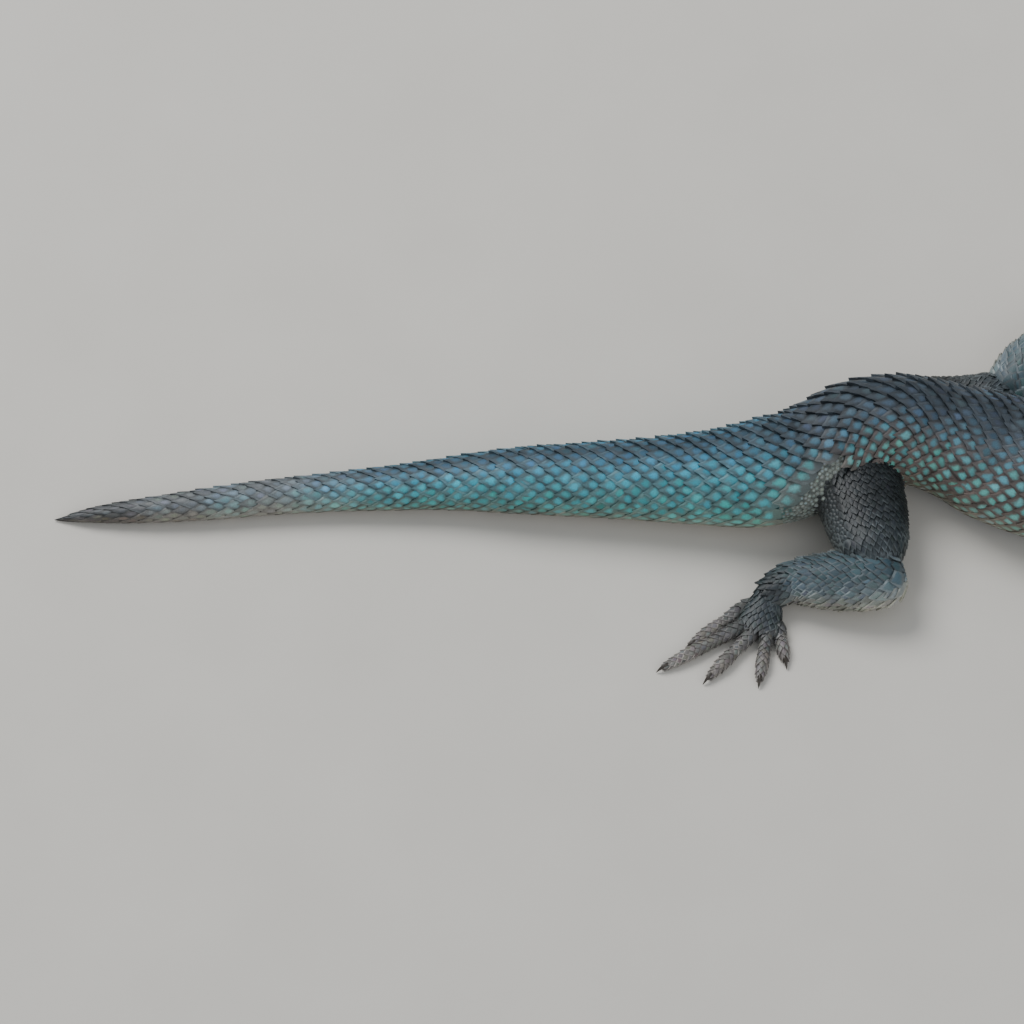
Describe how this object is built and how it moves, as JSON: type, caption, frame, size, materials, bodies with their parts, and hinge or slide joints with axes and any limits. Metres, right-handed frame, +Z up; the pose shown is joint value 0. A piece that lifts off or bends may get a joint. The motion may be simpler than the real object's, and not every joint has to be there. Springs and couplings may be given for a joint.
{
  "type": "clarks spiny lizard",
  "caption": "Life-size still model of a Clark's spiny lizard lying with its belly and blue-green tail on the floor, right hind foot back and head raised.",
  "frame": {"origin": "middle of the flat on which the belly rests, on the floor", "axes": "+X towards the head, +Y to the animal's left, +Z up"},
  "size_m": [0.2489, 0.1043, 0.025],
  "materials": {
    "head_scales": "dry horny shields with a soft sheen",
    "back_scales": "dry keeled scales, matt with a soft sheen on the keels",
    "tail_scales": "dry keeled scales with a blue-green sheen",
    "limb_scales": "dry small scales, matt",
    "eye": "wet and glossy"
  },
  "bodies": {
    "root": {"head": "head_scales", "eye_left": "eye", "eye_right": "eye", "neck": "back_scales", "chest": "back_scales", "belly": "back_scales", "pelvis": "back_scales", "tail_1": "tail_scales", "tail_2": "tail_scales", "tail_3": "tail_scales", "tail_4": "tail_scales", "tail_5": "tail_scales", "upper_arm_left": "limb_scales", "upper_arm_right": "limb_scales", "forearm_left": "limb_scales", "forearm_right": "limb_scales", "hand_left": "limb_scales", "hand_right": "limb_scales", "thigh_left": "limb_scales", "thigh_right": "limb_scales", "shank_left": "limb_scales", "shank_right": "limb_scales", "foot_left": "limb_scales", "foot_right": "limb_scales"}
  },
  "joints": []
}
